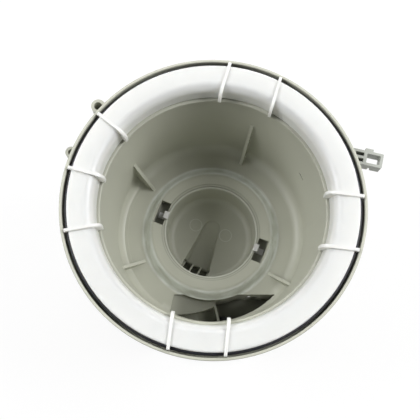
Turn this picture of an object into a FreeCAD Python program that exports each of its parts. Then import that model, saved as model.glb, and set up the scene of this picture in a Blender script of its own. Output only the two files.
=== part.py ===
"""Dishwasher sump assembly.

A deep moulded bowl hangs under the tub. A gasket lies in the trough of its flange, and a white
ring nut turned into its neck clamps the tub's edge. A collar in the bowl floor carries the filter
over a well, whose sloping channel leads through a small grille to the drain pump. The drain pump
stands on the side of the well, and its outlet holds a non-return flap. Beside the collar a
crescent opening leads to the suction spigot of the wash pump.

Millimetres, +Z up. The origin is on the bowl axis, in the plane that the sump stands on.
Azimuths are degrees about +Z from +X.
"""
import FreeCAD, Part
import math
import os

V = FreeCAD.Vector
ORIGIN = V(0, 0, 0)
ALONG_X = V(1, 0, 0)
UP = V(0, 0, 1)

# Levels
WELL_FLOOR_Z = 30.0
WELL_DEPTH = 34.0
COLLAR_RISE = 9.0
BOWL_DEPTH = 113.0
COLLAR_TOP_Z = WELL_FLOOR_Z + WELL_DEPTH
BOWL_FLOOR_Z = COLLAR_TOP_Z - COLLAR_RISE
FLANGE_TOP_Z = BOWL_FLOOR_Z + BOWL_DEPTH

# Moulded walls
WALL = 2.5
RIB = 1.8
EMBED = 1.0

# Radii, each from the one inside it: the filter's mouth, collar, floor, wall, neck and flange
MOUTH_R = 38.2
COLLAR_WIDTH = 12.8
COLLAR_SLOPE = 6.0
FLOOR_WIDTH = 21.8
BOWL_DRAFT = 2.7
LEDGE_WIDTH = 6.7
FLANGE_WIDTH = 19.8
COLLAR_EDGE_R = MOUTH_R + COLLAR_WIDTH
COLLAR_FOOT_R = COLLAR_EDGE_R + COLLAR_SLOPE
BOWL_FOOT_R = COLLAR_FOOT_R + FLOOR_WIDTH
BOWL_TOP_R = BOWL_FOOT_R + BOWL_DRAFT
NECK_BORE_R = BOWL_TOP_R + LEDGE_WIDTH
FLANGE_R = NECK_BORE_R + FLANGE_WIDTH

# Flange, gasket trough and neck
LIP_WIDTH = 2.0
LIP_CHAMFER = 0.5
TROUGH_DEPTH = 8.3
NECK_WALL = 3.4
NECK_DROP = 3.2
LEDGE_DROP = 15.0
TROUGH_R = FLANGE_R - LIP_WIDTH
NECK_R = NECK_BORE_R + NECK_WALL
TROUGH_FLOOR_Z = FLANGE_TOP_Z - TROUGH_DEPTH
FLANGE_UNDER_Z = TROUGH_FLOOR_Z - WALL
LEDGE_Z = FLANGE_TOP_Z - LEDGE_DROP

# Bowl, collar and well
BOWL_CORNER = 9.0
COLLAR_ROUND = 5.0
COLLAR_FOOT_ROUND = 4.0
MOUTH_BAND = 8.0
MOUTH_STEP = 1.2
MOUTH_STEP_WIDTH = 1.6
WELL_DRAFT = 1.0
WELL_CORNER = 6.0
WELL_FLOOR_R = MOUTH_R - WELL_DRAFT
COLLAR_UNDER_Z = COLLAR_TOP_Z - WALL - 0.7

# Filter bayonet: two pockets in the collar, each with a spring catch
POCKET_AZ = 158.5
POCKET_LENGTH = 20.0
POCKET_DEPTH = 10.5
POCKET_WALL = 2.0
POCKET_WIDTH = 8.4
POCKET_IN_R = MOUTH_R + POCKET_WALL
POCKET_OUT_R = POCKET_IN_R + POCKET_WIDTH
CATCH_TURN = 1.3
CATCH_SIZE = 6.0
CATCH_PROUD = 1.6
CATCH_BACK = 2.4
CATCH_CLEAR = 0.2
CATCH_LEG = 1.2

# Gussets between floor and wall: azimuth, foot's reach from the wall, height above the floor
GUSSETS = [(67.0, 12.3, 66.0), (142.0, 17.8, 39.0), (203.5, 20.3, 14.0), (325.0, 20.3, 16.0)]
GUSSET_THICK = 2.6
GUSSET_TOP = 0.6
FLOOR_STEP = 0.7
FLOOR_STEP_WIDTH = 7.8
FLOOR_STEP_FROM = 147.0
FLOOR_STEP_TO = 236.0
SLOT_AZ = 27.2
SLOT_DROP = 62.0
SLOT_LENGTH = 6.4
SLOT_WIDTH = 2.0
SLOT_DEPTH = 1.8
SLOT_LEAN = 14.0

# Suction opening beside the collar: x of its left side at top and foot, and the shelf's edge
# as (x, distance from the opening's lowest point)
SUCTION_RIM = 3.8
SUCTION_R = BOWL_FOOT_R - SUCTION_RIM
SUCTION_SETBACK = 4.7
SUCTION_CHORD_Y = SUCTION_SETBACK - COLLAR_FOOT_R
SUCTION_LEFT = (-31.0, -36.2)
SHELF_ARC = [(-38.0, 6.6), (-8.4, 8.8), (6.0, 14.2)]
SHELF_DROP = 5.0
SHELF_START_DROP = 1.0

# Gutter below the shelf, which dives under a bridge into the chamber on the right
GUTTER_DROP = 9.0
GUTTER_BEND_X = -11.0
GUTTER_END_X = 6.0
GUTTER_LOW_Z = 22.0
BRIDGE_THICK = 1.8
BRIDGE_HEIGHT = 12.0
CHAMBER_AZ = 284.0
CHAMBER_SIDE = -10.4
CHAMBER_FLOOR_Z = 8.0

# Suction spigot: a plain end for the hose and a stop ring behind it
SPIGOT_AZ = 298.0
SPIGOT_Z = 25.0
SPIGOT_BORE_R = 15.0
SPIGOT_REACH = 30.5
SPIGOT_SEAT = 19.0
SPIGOT_END = SUCTION_R + SPIGOT_REACH
STOP_WIDTH = 2.0
STOP_PROUD = 1.5
LEAD_IN = 1.0

# Drain line: azimuth of the pump, its axis height and its chamber
DRAIN_AZ = 244.0
PUMP_Z = 22.0
CHAMBER_R = 16.5
CHAMBER_WALL = 2.5
EYE_R = 9.0
CHANNEL_START = (-8.7, -2.7)
CHANNEL_START_R = 7.6
CHANNEL_HALF_WIDTH = 12.4
CHANNEL_DEPTH = 12.0
CHANNEL_DRAFT = 3.0
PIT_WIDTH = 11.4
PIT_START = WELL_FLOOR_R - PIT_WIDTH
PIT_FLOOR_Z = PUMP_Z - CHAMBER_R
CHAMBER_START = WELL_FLOOR_R + 2 * WALL
CHAMBER_LENGTH = 20.0
CHAMBER_END = CHAMBER_START + CHAMBER_LENGTH

# Drain grille
GRILLE_THICK = 1.8
GRILLE_FRAME = 1.6
GRILLE_BARS = 2
GRILLE_BAR = 1.5

# Pump cover, rotor and bearings, along the pump axis from the chamber's mouth
FIT = 0.15
RUNNING = 0.05
COVER_PLATE = 2.5
COVER_RIM = 0.5
COVER_R = CHAMBER_R + CHAMBER_WALL + COVER_RIM
COVER_SPIGOT = 4.5
SPIGOT_WALL = 2.1
SEAL_SECTION = 1.8
SEAL_DEPTH = 1.6
CAN_WALL = 1.2
CAN_R = CHAMBER_R - SEAL_DEPTH - SPIGOT_WALL + CAN_WALL
CAN_END = 1.5
SHAFT_R = 1.5
BUSH_R = 3.5
BUSH_LENGTH = 4.0
MAGNET_LENGTH = 29.0
MAGNET_GAP = 0.8
MAGNET_PLAY = 1.0
IMPELLER_ROOM = 3.0
IMPELLER_R = CHAMBER_R - IMPELLER_ROOM
IMPELLER_HUB_R = 4.5
IMPELLER_DISC = 1.5
IMPELLER_BLADE = 1.6
IMPELLER_BLADES = 6
BLADE_LENGTH = 7.0
IMPELLER_GAP = 1.0
HOOK_TILT = 330.0
HOOK_SPAN = 44.0
LUG_OUT = 3.0
HOOK_WALL = 2.6
HOOK_GAP = 0.3

# Stator core, bobbin, winding and tabs
POLE_GAP = 0.3
POLE_WIDTH = 3.0
POLE_SIDE = CAN_R + POLE_WIDTH
CORE_HALF_HEIGHT = 18.5
CORE_STACK = 16.0
CORE_SETBACK = 9.5
MAGNET_END = COVER_PLATE + CORE_SETBACK + (CORE_STACK + MAGNET_LENGTH) / 2
CAN_LENGTH = MAGNET_END + MAGNET_PLAY + BUSH_LENGTH + CAN_END
YOKE_OUT = 46.0
LIMB = 8.0
WINDOW_HALF = 11.0
POLE_SLIT = 4.0
BOBBIN_WALL = 1.0
WINDING_THICK = 5.2
FLANGE_PROUD = 0.5
TAB_WIDTH = 6.3
TAB_THICK = 0.8
TAB_REACH = 9.0
ARM = 2.0
ARM_HOOK = 1.5

# Drain outlet with its non-return flap, from the pump axis westward, long enough to pass the coil
OUTLET_BORE_R = 8.5
OUTLET_DROP = 0.5
OUTLET_RISE = CHAMBER_R - OUTLET_BORE_R - OUTLET_DROP
OUTLET_WALL = 2.5
HOSE_ROOM = 5.0
EAR_SPACING = 34.0
EAR_R = 4.6
EAR_THICK = 3.5
BOSS_LENGTH = 7.0
COIL_ROOM = 0.3
OUTLET_LENGTH = YOKE_OUT + BOBBIN_WALL + WINDING_THICK + FLANGE_PROUD + COIL_ROOM + BOSS_LENGTH
SCREW_R = 1.5
SCREW_HEAD_R = 3.1
SCREW_HEAD = 2.2
SCREW_LENGTH = 9.0
VALVE_BORE_R = 10.8
VALVE_CHAMBER_BEYOND = 2.5
ELBOW_WALL = 2.3
RISER_BORE_R = 8.5
RISER_TOP_Z = 96.0
RISER_SEAT = 24.0
SEAT_THICK = 3.0
SEAT_BORE_R = 7.0
FLAP_R = 8.2
FLAP_THICK = 1.2
FLAP_BOSS_R = 5.0
FLAP_BOSS = 4.0
PIN_R = 0.8
PIN_HEIGHT = 8.6
HUB_R = 1.5
HUB_HALF = 3.0
EAR_PLATE = 1.8
OUTLET_SEAL_IN_R = 11.6
OUTLET_SEAL_WIDTH = 2.0
OUTLET_SEAL_DEPTH = 1.4

# Temperature sensor in the suction chamber's wall
SENSOR_AZ = 279.0
SENSOR_Z = 32.0
SENSOR_HOLE_R = 5.5
SENSOR_BOSS_R = 8.0
SENSOR_BOSS_REACH = 12.0
SENSOR_BOSS_END = SUCTION_R + SENSOR_BOSS_REACH
PROBE_R = 3.2
PROBE_REACH = 5.0
PROBE_START = SUCTION_R - PROBE_REACH
GROMMET_FLANGE = 2.0
GROMMET_LIP = 1.5
SENSOR_HEAD = 7.0
SENSOR_HEAD_R = 6.4
SENSOR_TAB_REACH = 6.0

# Ring nut and gasket
RING_INSET = 3.4
RING_RISE = 2.0
RING_UNDER_DROP = 0.8
RING_SLOPE = 1.4
RING_WALL = 3.4
RING_DRAFT = 1.2
RING_R = TROUGH_R - RING_INSET
RING_TOP_IN_R = NECK_BORE_R - RING_WALL
RING_FOOT_IN_R = RING_TOP_IN_R - RING_DRAFT
RING_ROUND = 7.0
RING_DEPTH = 14.0
RING_NECK_GAP = 0.3
RING_LUGS = 6
RING_LUG_SPAN = 16.0
RING_LUG_TURN = 9.0
RING_LUG_HEIGHT = 3.0
RING_LUG_DROP = 9.0
RING_LUG_OUT = 1.4
FIN_THICK = 2.2
FIN_PAIR_AZ = [352.0, 73.0, 263.5]
FIN_PAIR_OFFSET = 19.2
FIN_SINGLE_AZ = [142.0, 166.5, 191.3]
FIN_INSET = 0.7
FIN_PROUD = 5.2
FIN_OUT_R = TROUGH_R - FIN_INSET
FIN_IN_R = RING_TOP_IN_R - FIN_PROUD
FIN_RISE = 1.3
FIN_ROUND = 8.0
GASKET_GAP = 1.5
GASKET_WIDTH = 11.2
GASKET_ROUND = 1.2

# Hose bosses left: distance outside the flange, azimuth, outer radius, bore radius, depth
HOSE_BOSSES = [(5.9, 138.3, 5.2, 3.0, 26.0), (2.8, 158.8, 4.2, 2.2, 18.0)]
HOSE_BOSS_FLOOR = 4.0
HOSE_WEB_SHOULDER = 8.0
HOSE_WEB_DROP = 10.0

# Clip bracket right, under the flange. Along its own axis, lengths run back from its end
BRACKET_TURN = -13.0
BRACKET_PROUD = 4.4
BRACKET_END = FLANGE_R + BRACKET_PROUD
BRACKET_LENGTH = 38.4
BRACKET_V = (55.5, 66.3)
BRACKET_WALL = 1.9
BRACKET_HEIGHT = 10.0
BRACKET_WINDOW = (11.8, 2.0)
BRACKET_POCKETS = [(20.4, 14.1, 61.8, 64.4), (17.9, 14.1, 57.4, 59.9)]
BRACKET_TAB = (13.6, 7.8)
BRACKET_NOTCH = (8.8, 7.0)
SOCKET_BACK = 22.4
SOCKET_LENGTH = 28.0

# Feet and stiffening
FOOT_WEB = 3.0
OUTER_WEB_AZ = [28.0, 64.0, 100.0, 140.0, 178.0]
OUTER_WEB_TOP_BACK = 10.8
OUTER_WEB_LEAN = 12.0
OUTER_WEB_TOP_R = BOWL_FOOT_R - OUTER_WEB_TOP_BACK
OUTER_WEB_FOOT_R = OUTER_WEB_TOP_R - OUTER_WEB_LEAN
FLANGE_RIB_STEP = 15
FLANGE_RIB_SKIP = [30, 135, 165]
FLANGE_RIB_DEPTH = 20.0


def rounded_wire(corners):
    """Closed wire through (point, corner radius) pairs, with tangent arcs at the corners."""
    bends = []
    for i, (point, radius) in enumerate(corners):
        back = (corners[i - 1][0] - point).normalize()
        ahead = (corners[(i + 1) % len(corners)][0] - point).normalize()
        if radius == 0:
            bends.append((point, point, point))
            continue
        half = back.getAngle(ahead) / 2
        run = radius / math.tan(half)
        middle = (back + ahead).normalize() * (radius / math.sin(half) - radius)
        bends.append((point + back * run, point + middle, point + ahead * run))
    edges = []
    for i, (start, middle, end) in enumerate(bends):
        if start != end:
            edges.append(Part.Arc(start, middle, end).toShape())
        following = bends[(i + 1) % len(bends)][0]
        if end.distanceToPoint(following) > 1e-6:
            edges.append(Part.LineSegment(end, following).toShape())
    return Part.Wire(edges)


def turned(points, origin=ORIGIN, axis=UP, radial=ALONG_X):
    """Solid of revolution from (radius, distance along the axis, corner radius) points."""
    corners = [(origin + radial * p[0] + axis * p[1], p[2] if len(p) > 2 else 0) for p in points]
    return Part.Face(rounded_wire(corners)).revolve(origin, axis, 360)


def plan_prism(points, z_low, z_high):
    """Upright prism over an outline of (x, y, corner radius) points."""
    corners = [(V(p[0], p[1], z_low), p[2] if len(p) > 2 else 0) for p in points]
    return Part.Face(rounded_wire(corners)).extrude(V(0, 0, z_high - z_low))


def side_prism(points, half_thick, offset=0.0):
    """Plate of the given half thickness over an outline of (x, z, corner radius) points."""
    corners = [(V(p[0], offset - half_thick, p[1]), p[2] if len(p) > 2 else 0) for p in points]
    return Part.Face(rounded_wire(corners)).extrude(V(0, 2 * half_thick, 0))


def block(x_low, x_high, y_low, y_high, z_low, z_high):
    return Part.makeBox(x_high - x_low, y_high - y_low, z_high - z_low, V(x_low, y_low, z_low))


def rod(radius, start, end, origin=ORIGIN, axis=UP):
    return Part.makeCylinder(radius, end - start, origin + axis * start, axis)


def tube(r_in, r_out, start, end, origin=ORIGIN, axis=UP):
    return rod(r_out, start, end, origin, axis).cut(rod(r_in, start, end, origin, axis))


def ring_sector(r_in, r_out, z_low, z_high, az_from, az_to):
    corners = [V(r_in, 0, z_low), V(r_out, 0, z_low), V(r_out, 0, z_high), V(r_in, 0, z_high)]
    face = Part.Face(Part.makePolygon(corners + corners[:1]))
    return spun(face.revolve(ORIGIN, UP, az_to - az_from), az_from)


def spun(shape, azimuth, origin=ORIGIN, axis=UP):
    copy = shape.copy()
    copy.rotate(origin, axis, azimuth)
    return copy


def fuse(shapes):
    return shapes[0].fuse(shapes[1:]).removeSplitter() if len(shapes) > 1 else shapes[0]


def wall_radius(z):
    """Inner radius of the bowl wall at a height."""
    share = (z - BOWL_FLOOR_Z) / (LEDGE_Z - BOWL_FLOOR_Z)
    return BOWL_FOOT_R + (BOWL_TOP_R - BOWL_FOOT_R) * share


# Sump body

def body_outside():
    """Outer skin of the flange, neck, bowl, collar and well, filled to the flange top."""
    return turned([
        (0, WELL_FLOOR_Z - WALL),
        (WELL_FLOOR_R + WALL, WELL_FLOOR_Z - WALL, WELL_CORNER + WALL / 2),
        (MOUTH_R + WALL, COLLAR_UNDER_Z, 1.5),
        (COLLAR_EDGE_R - 1.7, COLLAR_UNDER_Z, 3),
        (COLLAR_FOOT_R - 1.4, BOWL_FLOOR_Z - WALL, 5),
        (BOWL_FOOT_R + WALL, BOWL_FLOOR_Z - WALL, BOWL_CORNER + WALL),
        (BOWL_TOP_R + WALL, LEDGE_Z - WALL, 2),
        (NECK_R, LEDGE_Z - WALL, 1.5),
        (NECK_R, FLANGE_UNDER_Z, 1.5),
        (FLANGE_R, FLANGE_UNDER_Z, 1.2),
        (FLANGE_R, FLANGE_TOP_Z, 0.6),
        (0, FLANGE_TOP_Z)])


def body_inside():
    """The space inside the well, bowl, neck and gasket trough."""
    step_1 = MOUTH_R + MOUTH_STEP_WIDTH
    step_2 = step_1 + MOUTH_STEP_WIDTH
    above = FLANGE_TOP_Z + EMBED
    return turned([
        (0, WELL_FLOOR_Z),
        (WELL_FLOOR_R, WELL_FLOOR_Z, WELL_CORNER),
        (MOUTH_R, COLLAR_TOP_Z - 2 * MOUTH_STEP - MOUTH_BAND),
        (MOUTH_R, COLLAR_TOP_Z - 2 * MOUTH_STEP),
        (step_1, COLLAR_TOP_Z - 2 * MOUTH_STEP),
        (step_1, COLLAR_TOP_Z - MOUTH_STEP),
        (step_2, COLLAR_TOP_Z - MOUTH_STEP),
        (step_2, COLLAR_TOP_Z),
        (COLLAR_EDGE_R, COLLAR_TOP_Z, COLLAR_ROUND),
        (COLLAR_FOOT_R, BOWL_FLOOR_Z, COLLAR_FOOT_ROUND),
        (BOWL_FOOT_R, BOWL_FLOOR_Z, BOWL_CORNER),
        (BOWL_TOP_R, LEDGE_Z, 1.0),
        (NECK_BORE_R, LEDGE_Z),
        (NECK_BORE_R, FLANGE_TOP_Z - NECK_DROP),
        (NECK_R, FLANGE_TOP_Z - NECK_DROP),
        (NECK_R, TROUGH_FLOOR_Z),
        (TROUGH_R, TROUGH_FLOOR_Z, 0.8),
        (TROUGH_R, FLANGE_TOP_Z - LIP_CHAMFER),
        (TROUGH_R + LIP_CHAMFER, FLANGE_TOP_Z),
        (TROUGH_R + LIP_CHAMFER, above),
        (0, above)])


def ring_groove():
    """Bayonet groove in the neck, with an entry for each lug of the ring nut."""
    top = FLANGE_TOP_Z - RING_LUG_DROP + 0.5
    depth_r = NECK_BORE_R + RING_LUG_OUT + FIT
    groove = tube(NECK_BORE_R - EMBED, depth_r, top - RING_LUG_HEIGHT - 1.0, top)
    entries = []
    for k in range(RING_LUGS):
        start = RING_LUG_TURN + (k + 0.5) * 360 / RING_LUGS - RING_LUG_SPAN / 2 - 1
        high = FLANGE_TOP_Z - NECK_DROP + EMBED
        entries.append(ring_sector(NECK_BORE_R - EMBED, depth_r, top - EMBED, high,
                                   start, start + RING_LUG_SPAN + 2))
    return [groove] + entries


def filter_pockets():
    """Housings under the collar and the bayonet pockets that are cut into them."""
    half = POCKET_LENGTH / 2
    housing = block(POCKET_IN_R - WALL, POCKET_OUT_R + WALL, -half - WALL, half + WALL,
                    COLLAR_TOP_Z - POCKET_DEPTH - WALL, COLLAR_TOP_Z - EMBED)
    housing = housing.cut(rod(MOUTH_R, 0, COLLAR_TOP_Z))
    pocket = block(POCKET_IN_R, POCKET_OUT_R, -half, half,
                   COLLAR_TOP_Z - POCKET_DEPTH, COLLAR_TOP_Z + EMBED)
    catch = spun(catch_space(), CATCH_TURN)
    azimuths = [POCKET_AZ, POCKET_AZ + 180]
    return ([spun(housing, az) for az in azimuths],
            [spun(shape, az) for az in azimuths for shape in (pocket, catch)])


def catch_space():
    """Seat of the spring catch in the wall between pocket and well."""
    half = CATCH_SIZE / 2
    return block(MOUTH_R - EMBED, POCKET_IN_R + EMBED, -half, half,
                 COLLAR_TOP_Z - CATCH_SIZE + CATCH_PROUD, COLLAR_TOP_Z + EMBED)


def gusset(azimuth, reach, height):
    top = BOWL_FLOOR_Z + height
    low = BOWL_FLOOR_Z - EMBED
    wall = wall_radius(top)
    plate = side_prism([(BOWL_FOOT_R - reach, low), (BOWL_FOOT_R + EMBED, low),
                        (wall + EMBED, top), (wall - GUSSET_TOP, top)], GUSSET_THICK / 2)
    return spun(plate, azimuth)


def bowl_details():
    """Gussets and the low step of the floor, added inside the bowl."""
    step = ring_sector(BOWL_FOOT_R - FLOOR_STEP_WIDTH, BOWL_FOOT_R + EMBED, BOWL_FLOOR_Z - EMBED,
                       BOWL_FLOOR_Z + FLOOR_STEP, FLOOR_STEP_FROM, FLOOR_STEP_TO)
    return [gusset(*row) for row in GUSSETS] + [step]


def wall_slot():
    z = FLANGE_TOP_Z - SLOT_DROP
    r = wall_radius(z)
    half = SLOT_LENGTH / 2
    slot = block(r - EMBED, r + SLOT_DEPTH, -half, half, z - SLOT_WIDTH / 2, z + SLOT_WIDTH / 2)
    slot.rotate(V(r, 0, z), ALONG_X, SLOT_LEAN)
    return spun(slot, SLOT_AZ)


def suction_plan(grow, z_low, z_high):
    """Crescent between the collar and the bowl wall, grown by a wall thickness."""
    top_x, foot_x = SUCTION_LEFT
    top_y = SUCTION_CHORD_Y + grow
    far = SUCTION_R + 2 * WALL
    outline = plan_prism([(top_x - grow, top_y), (foot_x - grow, -SUCTION_R), (foot_x - grow, -far),
                          (far, -far), (far, top_y)], z_low, z_high)
    disc = rod(SUCTION_R + grow, z_low, z_high)
    return outline.common(disc).cut(rod(COLLAR_FOOT_R - grow, z_low, z_high))


def shelf_plan(z_low, z_high, grow=0.0):
    """The shelf's side of its curved edge."""
    start, middle, end = [V(x, out - SUCTION_R - grow, z_low) for x, out in SHELF_ARC]
    rest = Part.makePolygon([end, V(end.x, 0, z_low), V(start.x, 0, z_low), start])
    edge = Part.Arc(start, middle, end).toShape()
    return Part.Face(Part.Wire([edge] + rest.Edges)).extrude(V(0, 0, z_high - z_low))


def chamber_side(z_low, z_high, grow=0.0):
    """Everything right of the slanted wall that ends the shelf."""
    far = SUCTION_R + 2 * WALL
    return spun(block(0, far, CHAMBER_SIDE - grow, far, z_low, z_high), CHAMBER_AZ)


def above_gutter(grow, z_high):
    """Everything above the gutter's floor, level over the pump and then diving to the right."""
    far = SUCTION_R + 2 * WALL
    level = BOWL_FLOOR_Z - GUTTER_DROP - grow
    low = GUTTER_LOW_Z - grow
    return side_prism([(-far, level), (GUTTER_BEND_X - grow / 2, level),
                       (GUTTER_END_X - grow / 2, low), (far, low), (far, z_high), (-far, z_high)],
                      far / 2, -far / 2)


def suction_outside():
    shelf_low = BOWL_FLOOR_Z - SHELF_DROP - WALL
    gutter_low = GUTTER_LOW_Z - WALL
    shelf = suction_plan(WALL, shelf_low, BOWL_FLOOR_Z)
    gutter = suction_plan(WALL, gutter_low, BOWL_FLOOR_Z).common(above_gutter(WALL, BOWL_FLOOR_Z))
    gutter = gutter.cut(shelf_plan(gutter_low, BOWL_FLOOR_Z, -WALL))
    deep = suction_plan(WALL, CHAMBER_FLOOR_Z - WALL, BOWL_FLOOR_Z)
    deep = deep.common(chamber_side(0, BOWL_FLOOR_Z, WALL))
    r = SPIGOT_BORE_R + WALL
    stop = SPIGOT_END - SPIGOT_SEAT
    spigot = turned([
        (0, SUCTION_R), (r, SUCTION_R), (r, stop - STOP_WIDTH), (r + STOP_PROUD, stop - STOP_WIDTH),
        (r + STOP_PROUD, stop), (r, stop), (r, SPIGOT_END - LEAD_IN), (r - LEAD_IN, SPIGOT_END),
        (0, SPIGOT_END)], V(0, 0, SPIGOT_Z), ALONG_X, UP)
    return [shelf, gutter, deep, spun(spigot, SPIGOT_AZ)]


def suction_inside():
    above = BOWL_FLOOR_Z + BOWL_CORNER
    far = SUCTION_R + 2 * WALL
    shelf_z = BOWL_FLOOR_Z - SHELF_DROP
    below = GUTTER_LOW_Z - EMBED
    gutter = suction_plan(0, GUTTER_LOW_Z, above).common(above_gutter(0, above))
    slope = side_prism([(SHELF_ARC[0][0], BOWL_FLOOR_Z - SHELF_START_DROP), (SHELF_ARC[2][0], shelf_z),
                        (SHELF_ARC[2][0], below), (SHELF_ARC[0][0], below)], far / 2, -far / 2)
    shelf = slope.common(shelf_plan(below, above))
    bridge = block(COLLAR_FOOT_R - WALL, far, CHAMBER_SIDE - BRIDGE_THICK, CHAMBER_SIDE,
                   shelf_z - BRIDGE_HEIGHT, shelf_z)
    gutter = gutter.cut([shelf, spun(bridge, CHAMBER_AZ)])
    deep = suction_plan(0, CHAMBER_FLOOR_Z, above).common(chamber_side(0, above))
    bore = rod(SPIGOT_BORE_R, SUCTION_R - SPIGOT_BORE_R, SPIGOT_END + EMBED, V(0, 0, SPIGOT_Z), ALONG_X)
    return [gutter, deep, spun(bore, SPIGOT_AZ)]


def pump_axis():
    return V(0, 0, PUMP_Z), ALONG_X


def hook_ring(r_in, r_out, start, end, grow=0.0):
    """The two opposite sectors of a ring about the pump axis that the bayonet uses."""
    parts = []
    half = HOOK_SPAN / 2 + grow
    for turn in (HOOK_TILT, HOOK_TILT - 180):
        origin, axis = pump_axis()
        corners = [V(start, r_in, PUMP_Z), V(end, r_in, PUMP_Z),
                   V(end, r_out, PUMP_Z), V(start, r_out, PUMP_Z)]
        face = Part.Face(Part.makePolygon(corners + corners[:1]))
        sector = face.revolve(origin, axis, 2 * half)
        parts.append(spun(sector, turn - half, origin, axis))
    return parts


def drain_outside():
    """Walls round the pit and the pump chamber, with the bayonet hooks and the outlet stub."""
    origin, axis = pump_axis()
    half = CHANNEL_HALF_WIDTH + WALL
    low = PIT_FLOOR_Z - WALL
    channel = channel_shape(WALL)
    pit = block(PIT_START - WALL, CHAMBER_START, -half, half, low, WELL_FLOOR_Z + WELL_CORNER + WALL)
    chamber = rod(CHAMBER_R + CHAMBER_WALL, CHAMBER_START - WALL, CHAMBER_END, origin, axis)
    rim = rod(COVER_R, CHAMBER_END - WALL, CHAMBER_END, origin, axis)
    lug_r = COVER_R + LUG_OUT + HOOK_GAP
    hook_end = CHAMBER_END + COVER_PLATE + HOOK_GAP
    hooks = hook_ring(CHAMBER_R, lug_r + HOOK_WALL, CHAMBER_END - WALL, CHAMBER_END)
    hooks += hook_ring(lug_r, lug_r + HOOK_WALL, CHAMBER_END - WALL, hook_end + HOOK_WALL)
    hooks += hook_ring(COVER_R + HOOK_GAP, lug_r + HOOK_WALL, hook_end, hook_end + HOOK_WALL)
    stub = outlet_rod(OUTLET_BORE_R + OUTLET_WALL, 0, OUTLET_LENGTH)
    plate = outlet_ears(OUTLET_LENGTH - EAR_THICK, OUTLET_LENGTH)
    bosses = [outlet_rod(EAR_R - 1.0, OUTLET_LENGTH - BOSS_LENGTH, OUTLET_LENGTH, side)
              for side in (-EAR_SPACING / 2, EAR_SPACING / 2)]
    shapes = [channel, pit, chamber, rim] + hooks + [stub, plate] + bosses
    return [spun(shape, DRAIN_AZ) for shape in shapes]


def channel_shape(grow):
    """Drafted channel in the well floor, from its round start down to the pit."""
    start_s, start_t = CHANNEL_START
    top = WELL_FLOOR_Z + (0 if grow else EMBED)
    low = WELL_FLOOR_Z - CHANNEL_DEPTH
    end = PIT_START + EMBED
    wires = []
    for z, inset in ((top, 0.0), (low, CHANNEL_DRAFT)):
        r = CHANNEL_START_R + grow - inset
        half = CHANNEL_HALF_WIDTH + grow - inset
        left = V(start_s, start_t - r, z)
        right = V(start_s, start_t + r, z)
        arc = Part.Arc(left, V(start_s - r, start_t, z), right).toShape()
        rest = Part.makePolygon([right, V(end, half, z), V(end, -half, z), left])
        wires.append(Part.Wire([arc] + rest.Edges))
    drafted = Part.makeLoft(wires, True)
    ramp_start = start_s - CHANNEL_START_R - 4
    slope = side_prism([(ramp_start, WELL_FLOOR_Z + 0.6 - grow), (end, low - grow),
                        (end, top + EMBED), (ramp_start, top + EMBED)], 2 * CHANNEL_HALF_WIDTH)
    return drafted.common(slope) if not grow else drafted.fuse(drafted.common(slope))


def drain_inside():
    origin, axis = pump_axis()
    half = CHANNEL_HALF_WIDTH
    channel = channel_shape(0)
    pit = block(PIT_START, WELL_FLOOR_R + WALL, -half, half, PIT_FLOOR_Z, WELL_FLOOR_Z)
    pit = pit.common(rod(WELL_FLOOR_R + WALL, 0, WELL_FLOOR_Z + EMBED))
    trough = rod(CHAMBER_R, 0, CHAMBER_END, origin, axis)
    upper = block(0, CHAMBER_END, -half, half, PUMP_Z, WELL_FLOOR_Z + EMBED)
    pit = pit.common(trough.fuse(upper))
    mouth = block(PIT_START, WELL_FLOOR_R, -half, half, WELL_FLOOR_Z - EMBED,
                  WELL_FLOOR_Z + WELL_CORNER)
    mouth = mouth.common(rod(WELL_FLOOR_R, 0, COLLAR_TOP_Z))
    eye = rod(EYE_R, PIT_START + 2, CHAMBER_START + EMBED, origin, axis)
    chamber = rod(CHAMBER_R, CHAMBER_START, CHAMBER_END + EMBED, origin, axis)
    bore = outlet_rod(OUTLET_BORE_R, 0, OUTLET_LENGTH + EMBED)
    holes = [outlet_rod(SCREW_R, OUTLET_LENGTH - BOSS_LENGTH + 1.5, OUTLET_LENGTH + EMBED, side)
             for side in (-EAR_SPACING / 2, EAR_SPACING / 2)]
    return [spun(shape, DRAIN_AZ) for shape in [channel, pit, mouth, eye, chamber, bore] + holes]


def outlet_axis(side=0.0):
    """Origin and direction of the outlet line, in the pump's own frame."""
    s = CHAMBER_START + OUTLET_BORE_R + FIT
    return V(s + side, 0, PUMP_Z + OUTLET_RISE), V(0, -1, 0)


def outlet_rod(radius, start, end, side=0.0):
    origin, axis = outlet_axis(side)
    return rod(radius, start, end, origin, axis)


def outlet_ears(start, end):
    """Flange plate of the outlet joint, with two screw ears."""
    seal_out = OUTLET_SEAL_IN_R + OUTLET_SEAL_WIDTH
    disc = outlet_rod(seal_out + 1.4, start, end)
    ears = [outlet_rod(EAR_R, start, end, side) for side in (-EAR_SPACING / 2, EAR_SPACING / 2)]
    origin, axis = outlet_axis()
    bar = block(origin.x - EAR_SPACING / 2, origin.x + EAR_SPACING / 2, -end, -start,
                origin.z - EAR_R, origin.z + EAR_R)
    return fuse([disc, bar] + ears)


def sensor_boss():
    origin = V(0, 0, SENSOR_Z)
    return spun(rod(SENSOR_BOSS_R, SUCTION_R, SENSOR_BOSS_END, origin, ALONG_X), SENSOR_AZ)


def sensor_hole():
    origin = V(0, 0, SENSOR_Z)
    hole = rod(SENSOR_HOLE_R, SUCTION_R - WALL, SENSOR_BOSS_END + EMBED, origin, ALONG_X)
    return spun(hole, SENSOR_AZ)


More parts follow.
